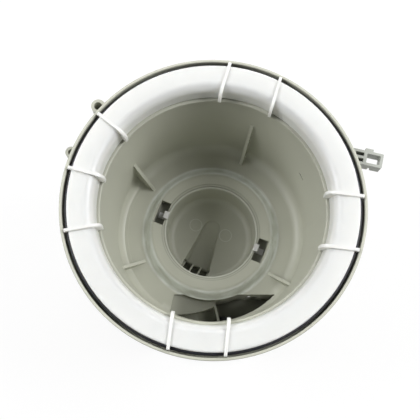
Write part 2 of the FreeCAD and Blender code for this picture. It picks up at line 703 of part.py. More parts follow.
def foot_webs():
    """Crossed webs under the well and radial webs under the bowl, which the sump stands on."""
    half = FOOT_WEB / 2
    well_out = WELL_FLOOR_R + WALL
    reach = CHAMBER_END - WALL
    shapes = [block(-well_out, reach, -half, half, 0, PIT_FLOOR_Z),
              block(-well_out, PIT_START, -half, half, 0, WELL_FLOOR_Z - EMBED),
              block(-half, half, -well_out, well_out, 0, WELL_FLOOR_Z - EMBED)]
    shapes = [spun(shape, DRAIN_AZ) for shape in shapes]
    for az in OUTER_WEB_AZ:
        web = side_prism([(WELL_FLOOR_R + EMBED, 0), (OUTER_WEB_FOOT_R, 0),
                          (OUTER_WEB_TOP_R, BOWL_FLOOR_Z - EMBED),
                          (WELL_FLOOR_R + EMBED, BOWL_FLOOR_Z - EMBED)], half)
        shapes.append(spun(web, az))
    web = block(WELL_FLOOR_R + EMBED, SUCTION_R, -half, half, 0, CHAMBER_FLOOR_Z - EMBED)
    shapes.append(spun(web, SPIGOT_AZ))
    return shapes


def flange_ribs():
    ribs = []
    for az in range(0, 360, FLANGE_RIB_STEP):
        if az in FLANGE_RIB_SKIP:
            continue
        top = FLANGE_UNDER_Z + EMBED
        low = FLANGE_UNDER_Z - FLANGE_RIB_DEPTH
        rib = side_prism([(BOWL_TOP_R + EMBED, top), (BOWL_TOP_R + EMBED, low),
                          (BOWL_TOP_R + WALL + 1.5, low), (FLANGE_R - 1.5, FLANGE_UNDER_Z - 1),
                          (FLANGE_R - 1.5, top)], RIB / 2)
        ribs.append(spun(rib, az))
    return ribs


def hose_bosses():
    """Upright hose bosses beside the flange, each on a web from the bowl wall."""
    outside = []
    bores = []
    for reach, azimuth, r_out, r_bore, depth in HOSE_BOSSES:
        radius = FLANGE_R + reach
        origin = V(radius, 0, 0)
        top = FLANGE_UNDER_Z - 1.0
        web = side_prism([(BOWL_TOP_R + EMBED, FLANGE_UNDER_Z + EMBED),
                          (radius - HOSE_WEB_SHOULDER, top), (radius, top), (radius, top - depth + 2),
                          (BOWL_TOP_R + EMBED, top - depth - HOSE_WEB_DROP)], RIB * 0.7)
        stem = rod(r_out, top - depth, top, origin)
        outside += [spun(web, azimuth), spun(stem, azimuth)]
        bores.append(spun(rod(r_bore, top - depth + HOSE_BOSS_FLOOR, top + EMBED, origin), azimuth))
    return outside, bores


def bracket_frame(shape):
    return spun(shape, BRACKET_TURN)


def bracket_socket():
    v_low, v_high = BRACKET_V
    top = FLANGE_UNDER_Z + EMBED
    low = FLANGE_UNDER_Z - BRACKET_HEIGHT
    end = BRACKET_END - SOCKET_BACK
    case = block(end - SOCKET_LENGTH, end, v_low - WALL, v_high + WALL, low - WALL, top)
    slot = block(BRACKET_END - BRACKET_LENGTH, end + EMBED, v_low, v_high, low, FLANGE_UNDER_Z)
    case = case.common(rod(FLANGE_R - EMBED, low - WALL, top))
    return bracket_frame(case), bracket_frame(slot)


def sump_body():
    housings, pockets = filter_pockets()
    boss_stems, boss_bores = hose_bosses()
    socket_case, socket_slot = bracket_socket()
    shell = body_outside()
    # One at a time, because walls that nearly meet can spoil a fusion of all at once.
    for shape in (housings + suction_outside() + drain_outside() + [sensor_boss()] + foot_webs()
                  + flange_ribs() + boss_stems + [socket_case]):
        shell = shell.fuse(shape)
    hollow = shell.cut([body_inside()] + ring_groove())
    body = hollow.fuse(bowl_details())
    voids = (pockets + suction_inside() + drain_inside() + [sensor_hole(), wall_slot()]
             + boss_bores + [socket_slot])
    for shape in voids:
        body = body.cut(shape)
    return body.removeSplitter()


# Ring nut, gasket, catches, grille and bracket

def fin(azimuth, offset):
    """Blade on the ring nut, from the gasket edge over the rounded top to the inner wall."""
    top = FLANGE_TOP_Z + RING_RISE

    def along(radius):
        return math.sqrt(radius ** 2 - offset ** 2)

    root_z = FLANGE_TOP_Z - RING_UNDER_DROP + 0.2
    foot_z = FLANGE_TOP_Z - RING_DEPTH + 0.6
    root_r = RING_TOP_IN_R + 2.2
    plate = side_prism([
        (along(FIN_OUT_R), root_z), (along(FIN_OUT_R), top + FIN_RISE, 0.8),
        (along(FIN_IN_R), top, FIN_ROUND), (along(FIN_IN_R), foot_z, 1.2),
        (along(root_r), foot_z), (along(root_r), root_z)], FIN_THICK / 2, offset)
    return spun(plate, azimuth)


def ring_nut():
    under = FLANGE_TOP_Z - RING_UNDER_DROP
    foot = FLANGE_TOP_Z - RING_DEPTH
    skirt_r = NECK_BORE_R - RING_NECK_GAP
    ring = turned([
        (skirt_r, under), (RING_R, under, 0.3), (RING_R, FLANGE_TOP_Z + RING_RISE, 1.0),
        (RING_TOP_IN_R, FLANGE_TOP_Z + RING_RISE - RING_SLOPE, RING_ROUND),
        (RING_FOOT_IN_R, foot, 0.6), (skirt_r, foot, 0.6)])
    lug_top = FLANGE_TOP_Z - RING_LUG_DROP
    lugs = []
    for k in range(RING_LUGS):
        start = RING_LUG_TURN + k * 360 / RING_LUGS - RING_LUG_SPAN / 2
        lugs.append(ring_sector(skirt_r - EMBED, NECK_BORE_R + RING_LUG_OUT - FIT,
                                lug_top - RING_LUG_HEIGHT, lug_top, start, start + RING_LUG_SPAN))
    fins = [fin(az, side * FIN_PAIR_OFFSET) for az in FIN_PAIR_AZ for side in (-1, 1)]
    fins += [fin(az, 0) for az in FIN_SINGLE_AZ]
    return ring.fuse(lugs + fins).removeSplitter()


def tub_gasket():
    outer = TROUGH_R - GASKET_GAP
    inner = outer - GASKET_WIDTH
    top = FLANGE_TOP_Z - RING_UNDER_DROP
    groove = GASKET_WIDTH / 5
    return turned([
        (inner, TROUGH_FLOOR_Z), (inner + groove, TROUGH_FLOOR_Z),
        (inner + 1.5 * groove, TROUGH_FLOOR_Z + 1.2, 0.5),
        (inner + 2 * groove, TROUGH_FLOOR_Z), (inner + 3 * groove, TROUGH_FLOOR_Z),
        (inner + 3.5 * groove, TROUGH_FLOOR_Z + 1.2, 0.5),
        (inner + 4 * groove, TROUGH_FLOOR_Z), (outer, TROUGH_FLOOR_Z, 0.8),
        (outer, top, GASKET_ROUND), (inner, top, 0.8)])


def filter_catches():
    """Two spring catches, each a block over the mouth's wall on a leg that stands in a pocket."""
    half = CATCH_SIZE / 2
    seat_z = COLLAR_TOP_Z - CATCH_SIZE + CATCH_PROUD
    floor_z = COLLAR_TOP_Z - POCKET_DEPTH
    head = side_prism([
        (MOUTH_R + CATCH_CLEAR, seat_z, 0.5), (POCKET_IN_R + CATCH_BACK, seat_z),
        (POCKET_IN_R + CATCH_BACK, COLLAR_TOP_Z + CATCH_PROUD, 0.7),
        (MOUTH_R + CATCH_CLEAR, COLLAR_TOP_Z + CATCH_PROUD, 0.7)], half)
    back_r = POCKET_IN_R + CATCH_CLEAR
    leg = block(back_r, back_r + CATCH_LEG, -half + 0.5, half - 0.5, floor_z, seat_z + EMBED)
    foot = block(back_r, POCKET_OUT_R - EMBED, -half + 0.5, half - 0.5, floor_z, floor_z + CATCH_LEG)
    catch = fuse([head, leg, foot])
    azimuths = [POCKET_AZ + CATCH_TURN, POCKET_AZ + CATCH_TURN + 180]
    return Part.makeCompound([spun(catch, az) for az in azimuths])


def drain_grille():
    """Sloping grille over the pit, from the end of the channel up to the well wall."""
    low_z = WELL_FLOOR_Z - CHANNEL_DEPTH
    high_s = WELL_FLOOR_R
    half = CHANNEL_HALF_WIDTH
    rise = WELL_FLOOR_Z - low_z
    run = high_s - PIT_START
    length = math.hypot(run, rise)
    slope = math.degrees(math.atan2(rise, run))
    plate = block(0, length, -half, half, 0, GRILLE_THICK)
    clear = 2 * half - 2 * GRILLE_FRAME - GRILLE_BARS * GRILLE_BAR
    cell = clear / (GRILLE_BARS + 1)
    for k in range(GRILLE_BARS + 1):
        left = -half + GRILLE_FRAME + k * (cell + GRILLE_BAR)
        plate = plate.cut(block(GRILLE_FRAME, length - GRILLE_FRAME, left, left + cell,
                                -EMBED, GRILLE_THICK + EMBED))
    plate.rotate(ORIGIN, V(0, 1, 0), -slope)
    plate.translate(V(PIT_START, 0, low_z))
    pit = block(PIT_START, high_s, -half, half, 0, COLLAR_TOP_Z)
    plate = plate.common(pit).common(rod(high_s, 0, COLLAR_TOP_Z))
    return spun(plate, DRAIN_AZ)


def side_bracket():
    """Box frame for clipping hoses, its tongue held in the socket under the flange."""
    v_low, v_high = BRACKET_V
    top = FLANGE_UNDER_Z
    low = top - BRACKET_HEIGHT
    back = BRACKET_END - BRACKET_LENGTH
    frame = plan_prism([(back, v_low), (BRACKET_END, v_low, 0.8), (BRACKET_END, v_high, 0.8),
                        (back, v_high)], low, top)
    u_0, u_1 = [BRACKET_END - u for u in BRACKET_WINDOW]
    v_0 = v_low + BRACKET_WALL
    v_1 = v_high - BRACKET_WALL
    window = plan_prism([(u_0, v_0, 0.5), (u_1, v_0, 0.5), (u_1, v_1, 0.5), (u_0, v_1, 0.5)],
                        low - EMBED, top + EMBED)
    pockets = [block(BRACKET_END - u_0, BRACKET_END - u_1, v_0, v_1, low + BRACKET_WALL, top + EMBED)
               for u_0, u_1, v_0, v_1 in BRACKET_POCKETS]
    u_0, u_1 = [BRACKET_END - u for u in BRACKET_TAB]
    tab = block(u_0, u_1, v_high - EMBED, v_high + BRACKET_WALL, top - 3, top)
    u_0, u_1 = [BRACKET_END - u for u in BRACKET_NOTCH]
    notch = block(u_0, u_1, v_low - EMBED, v_low + BRACKET_WALL + 0.1, low - EMBED, low + 4)
    return bracket_frame(frame.fuse(tab).cut([window, notch] + pockets))


# Drain pump

def pump_turned(points):
    """Solid of revolution about the pump axis, turned to the pump's azimuth."""
    origin, axis = pump_axis()
    return spun(turned(points, origin, axis, UP), DRAIN_AZ)


def bush_seat_start():
    return CHAMBER_END + CAN_LENGTH - CAN_END - BUSH_LENGTH


def core_start():
    return CHAMBER_END + CORE_SETBACK + COVER_PLATE


def pump_cover():
    """Moulded cover: rotor can, sealing spigot, bayonet plate and the arms that hold the core."""
    origin, axis = pump_axis()
    spigot_r = CHAMBER_R - FIT
    can_in = CAN_R - CAN_WALL
    groove = CHAMBER_END - COVER_SPIGOT / 2 - SEAL_SECTION / 2
    plate_end = CHAMBER_END + COVER_PLATE
    can_end = CHAMBER_END + CAN_LENGTH
    body = turned([
        (can_in, CHAMBER_END - COVER_SPIGOT), (spigot_r, CHAMBER_END - COVER_SPIGOT),
        (spigot_r, groove), (CHAMBER_R - SEAL_DEPTH, groove),
        (CHAMBER_R - SEAL_DEPTH, groove + SEAL_SECTION), (spigot_r, groove + SEAL_SECTION),
        (spigot_r, CHAMBER_END), (COVER_R, CHAMBER_END), (COVER_R, plate_end, 0.6),
        (CAN_R, plate_end, 0.8), (CAN_R, can_end, 2.0), (0, can_end),
        (0, can_end - CAN_END), (BUSH_R, can_end - CAN_END), (BUSH_R, bush_seat_start()),
        (BUSH_R + 1.5, bush_seat_start()), (BUSH_R + 1.5, can_end - CAN_END - 1),
        (can_in, can_end - CAN_END - 1)], origin, axis, UP)
    lugs = hook_ring(COVER_R - EMBED, COVER_R + LUG_OUT, CHAMBER_END, plate_end, -2.0)
    core_front = core_start()
    core_back = core_front + CORE_STACK
    reach = plate_end - EMBED
    edge = CORE_HALF_HEIGHT
    arms = [
        block(reach, core_front, -8, 0, PUMP_Z + CAN_R - 0.5, PUMP_Z + edge + ARM),
        block(core_front, core_back + ARM_HOOK, -8, 0, PUMP_Z + edge, PUMP_Z + edge + ARM),
        block(core_back, core_back + ARM_HOOK, -8, 0, PUMP_Z + edge - 1.5, PUMP_Z + edge + ARM),
        block(reach, core_front, CAN_R - 0.5, POLE_SIDE + ARM, -4 + PUMP_Z, 4 + PUMP_Z),
        block(core_front, core_back + ARM_HOOK, POLE_SIDE, POLE_SIDE + ARM, -4 + PUMP_Z, 4 + PUMP_Z),
        block(core_back, core_back + ARM_HOOK, POLE_SIDE - 1.5, POLE_SIDE + ARM,
              -4 + PUMP_Z, 4 + PUMP_Z)]
    tab = block(CHAMBER_END, plate_end, -8, 0, PUMP_Z, PUMP_Z + edge + ARM)
    tab = tab.cut(rod(COVER_R - EMBED, 0, plate_end + EMBED, origin, axis))
    cover = body.fuse(lugs + arms + [tab])
    return spun(cover.removeSplitter(), DRAIN_AZ)


def pump_seal():
    start = CHAMBER_END - COVER_SPIGOT / 2 - SEAL_SECTION / 2
    return pump_turned([
        (CHAMBER_R - SEAL_DEPTH, start, 0.4), (CHAMBER_R, start, 0.4),
        (CHAMBER_R, start + SEAL_SECTION, 0.4), (CHAMBER_R - SEAL_DEPTH, start + SEAL_SECTION, 0.4)])


def carrier_start():
    return CHAMBER_END - COVER_SPIGOT + 0.5


def bearing_carrier():
    """Disc in the mouth of the rotor can, which holds the front bush."""
    start = carrier_start()
    can_in = CAN_R - CAN_WALL
    return pump_turned([
        (BUSH_R, start), (BUSH_R + 1.5, start), (BUSH_R + 1.5, start + 1.2), (can_in, start + 1.2),
        (can_in, start + BUSH_LENGTH), (can_in - 1.4, start + BUSH_LENGTH),
        (can_in - 1.4, start + 2.6), (BUSH_R, start + 2.6)])


def bush(start):
    return pump_turned([
        (SHAFT_R + RUNNING, start), (BUSH_R, start), (BUSH_R, start + BUSH_LENGTH, 0.3),
        (SHAFT_R + RUNNING, start + BUSH_LENGTH)])


def impeller_end():
    return CHAMBER_END - COVER_SPIGOT - IMPELLER_GAP


def pump_impeller():
    """Straight-bladed impeller, which works in either direction of rotation."""
    origin, axis = pump_axis()
    end = impeller_end()
    front = end - IMPELLER_DISC - BLADE_LENGTH
    hub = turned([
        (SHAFT_R, front), (IMPELLER_HUB_R, front, 1.5), (IMPELLER_HUB_R, end - IMPELLER_DISC),
        (IMPELLER_R, end - IMPELLER_DISC), (IMPELLER_R, end), (SHAFT_R, end)], origin, axis, UP)
    blade = side_prism([
        (front + 0.8, PUMP_Z + IMPELLER_HUB_R - EMBED),
        (front, PUMP_Z + IMPELLER_R - 3, 2.0), (front + 1.6, PUMP_Z + IMPELLER_R, 1.0),
        (end - 0.5, PUMP_Z + IMPELLER_R), (end - 0.5, PUMP_Z + IMPELLER_HUB_R - EMBED)],
        IMPELLER_BLADE / 2)
    blades = [spun(blade, k * 360 / IMPELLER_BLADES, origin, axis) for k in range(IMPELLER_BLADES)]
    return spun(hub.fuse(blades).removeSplitter(), DRAIN_AZ)


def pump_shaft():
    front = impeller_end() - IMPELLER_DISC - BLADE_LENGTH
    end = CHAMBER_END + CAN_LENGTH - CAN_END - 0.3
    return pump_turned([(0, front - 1), (SHAFT_R, front - 1, 0.4), (SHAFT_R, end, 0.4), (0, end)])


def rotor_magnet():
    middle = core_start() + CORE_STACK / 2
    radius = CAN_R - CAN_WALL - MAGNET_GAP
    half = MAGNET_LENGTH / 2
    return pump_turned([
        (SHAFT_R, middle - half), (radius, middle - half, 0.6), (radius, middle + half, 0.6),
        (SHAFT_R, middle + half)])


def stator_core():
    """Stack of C-shaped sheets: two poles round the rotor can and a limb for the coil."""
    origin, axis = pump_axis()
    start = core_start()
    end = start + CORE_STACK
    top = PUMP_Z + CORE_HALF_HEIGHT
    low = PUMP_Z - CORE_HALF_HEIGHT
    slit = POLE_SLIT / 2
    stack = block(start, end, -YOKE_OUT, POLE_SIDE, low, top)
    window = block(start, end, LIMB - YOKE_OUT, -POLE_SIDE, PUMP_Z - WINDOW_HALF, PUMP_Z + WINDOW_HALF)
    bore = rod(CAN_R + POLE_GAP, start, end, origin, axis)
    slits = [block(start, end, -POLE_SIDE - EMBED, 0, PUMP_Z - slit, PUMP_Z + slit),
             block(start, end, 0, POLE_SIDE + EMBED, PUMP_Z - slit, PUMP_Z + slit)]
    return spun(stack.cut([window, bore] + slits), DRAIN_AZ)


def limb_box(grow, half_height):
    """Box about the coil's limb, grown sideways."""
    start = core_start()
    return block(start - grow, start + CORE_STACK + grow, -YOKE_OUT - grow, LIMB - YOKE_OUT + grow,
                 PUMP_Z - half_height, PUMP_Z + half_height)


def tab_places():
    s = core_start() + CORE_STACK + BOBBIN_WALL + 2.2
    middle = LIMB / 2 - YOKE_OUT
    return [(s, middle - 6.0), (s, middle + 6.0)]


def tab_box(s, t, z_low, z_high):
    return block(s, s + TAB_THICK, t - TAB_WIDTH / 2, t + TAB_WIDTH / 2, z_low, z_high)


def coil_bobbin():
    edge = BOBBIN_WALL + WINDING_THICK + FLANGE_PROUD
    tube_part = limb_box(BOBBIN_WALL, WINDOW_HALF)
    flanges = limb_box(edge, WINDOW_HALF).cut(limb_box(edge + EMBED, WINDOW_HALF - BOBBIN_WALL))
    top = PUMP_Z + WINDOW_HALF
    s, t_left = tab_places()[0]
    t_right = tab_places()[1][1]
    plug = block(s - 1.4, s + TAB_THICK + 1.4, t_left - 4.6, t_right + 4.6, top - BOBBIN_WALL, top + 4)
    slots = [tab_box(s, t, top, top + 4) for s, t in tab_places()]
    bobbin = tube_part.fuse([flanges, plug]).cut([limb_box(0, WINDOW_HALF + EMBED)] + slots)
    return spun(bobbin.removeSplitter(), DRAIN_AZ)


def coil_winding():
    half = WINDOW_HALF - BOBBIN_WALL
    outer = limb_box(BOBBIN_WALL + WINDING_THICK, half)
    upright = [edge for edge in outer.Edges
               if abs(edge.Vertexes[0].Point.z - edge.Vertexes[1].Point.z) > half]
    outer = outer.makeFillet(WINDING_THICK * 0.8, upright)
    return spun(outer.cut(limb_box(BOBBIN_WALL, half + EMBED)), DRAIN_AZ)


def terminal_tabs():
    top = PUMP_Z + WINDOW_HALF
    return Part.makeCompound([spun(tab_box(s, t, top, top + 4 + TAB_REACH), DRAIN_AZ)
                              for s, t in tab_places()])


# Drain outlet with its non-return flap

def outlet_turned(points):
    origin, axis = outlet_axis()
    return spun(turned(points, origin, axis, UP), DRAIN_AZ)


def riser_along():
    """Where the riser crosses the outlet line, clear of the bowl by the room for a hose."""
    radius = BOWL_TOP_R + WALL + HOSE_ROOM + RISER_BORE_R + ELBOW_WALL
    return math.sqrt(radius ** 2 - outlet_axis()[0].x ** 2)


def drain_elbow():
    """Valve chamber with a closed end and a riser for the drain hose."""
    start = OUTLET_LENGTH
    end = riser_along() + RISER_BORE_R + VALVE_CHAMBER_BEYOND
    origin, axis = outlet_axis()
    seal_out = OUTLET_SEAL_IN_R + OUTLET_SEAL_WIDTH
    chamber = turned([
        (0, start), (VALVE_BORE_R + ELBOW_WALL, start),
        (VALVE_BORE_R + ELBOW_WALL, end + ELBOW_WALL, 6.0), (0, end + ELBOW_WALL)], origin, axis, UP)
    plate = outlet_ears(start, start + EAR_THICK)
    riser_origin = V(origin.x, -riser_along(), 0)
    r = RISER_BORE_R + ELBOW_WALL
    stop = RISER_TOP_Z - RISER_SEAT
    riser = turned([
        (0, origin.z), (r, origin.z), (r, stop - STOP_WIDTH), (r + STOP_PROUD, stop - STOP_WIDTH),
        (r + STOP_PROUD, stop), (r, stop), (r, RISER_TOP_Z - LEAD_IN), (r - LEAD_IN, RISER_TOP_Z),
        (0, RISER_TOP_Z)], riser_origin)
    space = turned([
        (0, start - EMBED), (VALVE_BORE_R, start - EMBED), (VALVE_BORE_R, end, 4.0), (0, end)],
        origin, axis, UP)
    bore = rod(RISER_BORE_R, origin.z, RISER_TOP_Z + EMBED, riser_origin)
    groove = turned([
        (OUTLET_SEAL_IN_R, start - EMBED), (seal_out, start - EMBED),
        (seal_out, start + OUTLET_SEAL_DEPTH), (OUTLET_SEAL_IN_R, start + OUTLET_SEAL_DEPTH)],
        origin, axis, UP)
    holes = [outlet_rod(SCREW_R + FIT, start - EMBED, start + EAR_THICK + EMBED, side)
             for side in (-EAR_SPACING / 2, EAR_SPACING / 2)]
    elbow = chamber.fuse([plate, riser]).cut([space, bore, groove] + holes)
    return spun(elbow.removeSplitter(), DRAIN_AZ)


def outlet_seal():
    seal_out = OUTLET_SEAL_IN_R + OUTLET_SEAL_WIDTH
    start = OUTLET_LENGTH
    end = start + OUTLET_SEAL_DEPTH
    return outlet_turned([
        (OUTLET_SEAL_IN_R, start, 0.4), (seal_out, start, 0.4), (seal_out, end, 0.4),
        (OUTLET_SEAL_IN_R, end, 0.4)])


def elbow_screws():
    """Two pan-head screws through the elbow's ears."""
    head = OUTLET_LENGTH + EAR_THICK
    screws = []
    for side in (-EAR_SPACING / 2, EAR_SPACING / 2):
        origin, axis = outlet_axis(side)
        screw = turned([
            (0, head + EAR_THICK - SCREW_LENGTH), (SCREW_R, head + EAR_THICK - SCREW_LENGTH, 0.5),
            (SCREW_R, head), (SCREW_HEAD_R, head), (SCREW_HEAD_R, head + SCREW_HEAD, 1.2),
            (0, head + SCREW_HEAD)], origin, axis, UP)
        slot = block(origin.x - 0.4, origin.x + 0.4, -head - SCREW_HEAD - EMBED,
                     -head - SCREW_HEAD + 1.0, origin.z - 2, origin.z + 2)
        cross = spun(slot, 90, origin, axis)
        screws.append(spun(screw.cut([slot, cross]), DRAIN_AZ))
    return Part.makeCompound(screws)


def pin_place():
    """A point on the flap's pin and the pin's direction, in the pump's frame."""
    origin, axis = outlet_axis()
    along = OUTLET_LENGTH + SEAT_THICK + HUB_R + 0.15
    return V(origin.x, -along, origin.z + PIN_HEIGHT), ALONG_X


def valve_seat():
    """Ring with the flap's seat and two ears for its pin."""
    origin, axis = outlet_axis()
    start = OUTLET_LENGTH
    end = start + SEAT_THICK
    outer = VALVE_BORE_R
    ring = turned([
        (SEAT_BORE_R, start), (outer, start), (outer, end), (SEAT_BORE_R, end, 0.4)],
        origin, axis, UP)
    pin, pin_axis = pin_place()
    inner = HUB_HALF + 0.3
    ears = []
    for x in (-inner - EAR_PLATE, inner):
        low = pin.x + x
        high = low + EAR_PLATE
        ear = block(low, high, pin.y - HUB_R, -end + EMBED, pin.z, pin.z + 3 * HUB_R)
        ear = ear.fuse([block(low, high, pin.y, -end + EMBED, pin.z - HUB_R, pin.z),
                        rod(HUB_R, x, x + EAR_PLATE, pin, pin_axis)])
        ears.append(ear.common(rod(outer, start, end + 3 * HUB_R, origin, axis)))
    hole = rod(PIN_R, -inner - EAR_PLATE - EMBED, inner + EAR_PLATE + EMBED, pin, pin_axis)
    return spun(ring.fuse(ears).cut(hole).removeSplitter(), DRAIN_AZ)


def valve_flap():
    """Disc that lies against the seat and swings away from it on the pin."""
    origin, axis = outlet_axis()
    pin, pin_axis = pin_place()
    face = OUTLET_LENGTH + SEAT_THICK + RUNNING
    disc = turned([(0, face), (FLAP_R, face), (FLAP_R, face + FLAP_THICK, 0.4),
                   (0, face + FLAP_THICK)], origin - V(0, 0, 0.6), axis, UP)
    hub = rod(HUB_R, -HUB_HALF, HUB_HALF, pin, pin_axis)
    web = block(pin.x - HUB_HALF, pin.x + HUB_HALF, pin.y, -face, pin.z - 3, pin.z)
    boss = outlet_rod(FLAP_BOSS_R, face, face + FLAP_THICK + FLAP_BOSS)
    hole = rod(PIN_R + RUNNING, -HUB_HALF - EMBED, HUB_HALF + EMBED, pin, pin_axis)
    return spun(disc.fuse([hub, web, boss]).cut(hole).removeSplitter(), DRAIN_AZ)


def valve_pin():
    pin, pin_axis = pin_place()
    reach = HUB_HALF + 0.3 + EAR_PLATE
    return spun(rod(PIN_R, -reach, reach, pin, pin_axis), DRAIN_AZ)


# Temperature sensor

def sensor_turned(points):
    return spun(turned(points, V(0, 0, SENSOR_Z), ALONG_X, UP), SENSOR_AZ)


def sensor_grommet():
    end = SENSOR_BOSS_END + GROMMET_FLANGE
    return sensor_turned([
        (PROBE_R, SUCTION_R - GROMMET_LIP), (SENSOR_HOLE_R - 0.6, SUCTION_R - GROMMET_LIP),
        (SENSOR_HOLE_R, SUCTION_R + GROMMET_LIP), (SENSOR_HOLE_R, SENSOR_BOSS_END),
        (SENSOR_BOSS_R, SENSOR_BOSS_END), (SENSOR_BOSS_R, end, 0.8), (PROBE_R, end)])


def temperature_sensor():
    start = SENSOR_BOSS_END + GROMMET_FLANGE
    end = start + SENSOR_HEAD
    probe = turned([
        (0, PROBE_START), (PROBE_R, PROBE_START, 2.0), (PROBE_R, start), (SENSOR_HEAD_R, start),
        (SENSOR_HEAD_R, end, 0.8), (0, end)], V(0, 0, SENSOR_Z), ALONG_X, UP)
    tabs = [block(end - EMBED, end + SENSOR_TAB_REACH, side - 1.4, side + 1.4,
                  SENSOR_Z - TAB_THICK / 2, SENSOR_Z + TAB_THICK / 2) for side in (-2.6, 2.6)]
    return spun(probe.fuse(tabs), SENSOR_AZ)


NODES = {
    "sump_body": sump_body,
    "tub_gasket": tub_gasket,
    "ring_nut": ring_nut,
    "filter_catches": filter_catches,
    "drain_grille": drain_grille,
    "side_bracket": side_bracket,
    "pump_cover": pump_cover,
    "pump_seal": pump_seal,
    "bearing_carrier": bearing_carrier,
    "front_bush": lambda: bush(carrier_start()),
    "rear_bush": lambda: bush(bush_seat_start()),
    "pump_impeller": pump_impeller,
    "pump_shaft": pump_shaft,
    "rotor_magnet": rotor_magnet,
    "stator_core": stator_core,
    "coil_bobbin": coil_bobbin,
    "coil_winding": coil_winding,
    "terminal_tabs": terminal_tabs,
    "drain_elbow": drain_elbow,
    "outlet_seal": outlet_seal,
    "elbow_screws": elbow_screws,
    "valve_seat": valve_seat,
    "valve_flap": valve_flap,
    "valve_pin": valve_pin,
    "sensor_grommet": sensor_grommet,
    "temperature_sensor": temperature_sensor,
}

os.makedirs("parts", exist_ok=True)
for node, make in NODES.items():
    shape = make()
    shape.exportStep("parts/" + node + ".step")
    print(node, "valid", shape.isValid(), "solids", len(shape.Solids), "cm3", round(shape.Volume / 1000, 2))
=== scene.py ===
"""Looks of a dishwasher sump: finishes of its plastic, rubber and metal, light and camera."""

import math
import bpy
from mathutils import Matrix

bl_info = {
    "name": "Dishwasher sump looks",
    "version": (1, 0, 0),
    "blender": (4, 2, 0),
    "location": "3D View > Sidebar > Sump",
    "description": "Finishes the pieces of a dishwasher sump and sets its stage",
    "category": "Object",
}

import bpy
from mathutils import Matrix, Vector

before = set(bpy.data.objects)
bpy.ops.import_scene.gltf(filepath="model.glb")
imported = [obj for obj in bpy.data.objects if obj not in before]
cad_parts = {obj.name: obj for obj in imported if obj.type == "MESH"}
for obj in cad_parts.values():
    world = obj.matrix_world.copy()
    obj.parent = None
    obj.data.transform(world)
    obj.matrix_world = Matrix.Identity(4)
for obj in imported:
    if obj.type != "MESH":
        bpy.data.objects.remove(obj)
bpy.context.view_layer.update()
MM = 0.001

# Where the body gets limescale, ejector marks, painted shade and painted highlights: radii round
# the bowl's axis, and heights above the foot of the part.
COLLAR_R = (50.5 * MM, 58.5 * MM)
# Just under the bowl's floor, which is at 55 mm.
FLOOR_Z = 54.5 * MM
BELOW_FLOOR_R = (39.5 * MM, 80 * MM)
POCKET_R = (40 * MM, 48.7 * MM)
POCKET_Z = (53 * MM, 62 * MM)
SLOT_MIDDLE = (72.1 * MM, 37.1 * MM, 106 * MM)
SLOT_REACH = 4.5 * MM
SLOT_R = (80.6 * MM, 82.3 * MM)
MOUTH_Z = 58 * MM
MOUTH_EDGE_R = (38 * MM, 39 * MM)
MOUTH_LOWER_STEP_R = (39.4 * MM, 40 * MM)
MOUTH_UPPER_STEP_R = (41.1 * MM, 41.7 * MM)
WELL_Z = 31 * MM
EJECTORS = ((-12.8 * MM, 12.4 * MM), (13.7 * MM, 2.9 * MM))
EJECTOR_RING_R = (5.1 * MM, 5.7 * MM)
EJECTOR_HEIGHT = 0.1 * MM

# How much of the colour below hides under the painted shade, the painted highlights, the limescale
# and the ejector marks, from 0 to 1.
PAINTED_SHADE_COVER = 0.6
SLOT_COVER = 0.95
MOUTH_EDGE_COVER = 0.24
MOUTH_LOWER_STEP_COVER = 0.45
MOUTH_UPPER_STEP_COVER = 0.3
EJECTOR_COVER = 0.3

# Size of the streaks of limescale and painted highlight on the collar. A radian is 54.5 mm there,
# so one is 21 mm long.
STREAKS_A_RADIAN = 2.6
STREAK_WIDTH = 4 * MM
FILM_PATCH = 15 * MM

# Depth of the waves and of the grain in a moulding's skin, and of the grain in rubber.
RIPPLE_DEPTH = 0.05 * MM
GRAIN_DEPTH = 0.012 * MM
RUBBER_GRAIN_DEPTH = 0.02 * MM
# Width of the clouds in a moulding's colour, of dusty patches on rubber and of worn ones on metal.
CLOUD = 30 * MM
DUST = 6 * MM
RUB = 2 * MM

# Direction of the drain pump's axis, seen from above. The core's sheets are stacked along it.
PUMP_AZIMUTH = math.radians(244)

# Share of plain white in the floor, where the camera or a reflection sees it.
FLOOR_GLOW = 0.88
# The point that the softboxes are aimed at.
BOWL_MIDDLE = Vector((0, 0, 120 * MM))

# Settings of nodes that are used again and again.
TIMES = {"operation": "MULTIPLY"}
COLOUR = {"data_type": "RGBA"}
SMOOTH = {"interpolation_type": "SMOOTHSTEP"}


def linear(hex_colour):
    """Linear RGB of an sRGB hex colour."""
    channels = [int(hex_colour[i:i + 2], 16) / 255 for i in (1, 3, 5)]
    return tuple(c / 12.92 if c <= 0.04045 else ((c + 0.055) / 1.055) ** 2.4 for c in channels)


def colour_property(name, description, hex_colour):
    return bpy.props.FloatVectorProperty(
        name=name, description=description, subtype="COLOR", size=3, min=0, max=1,
        default=linear(hex_colour))


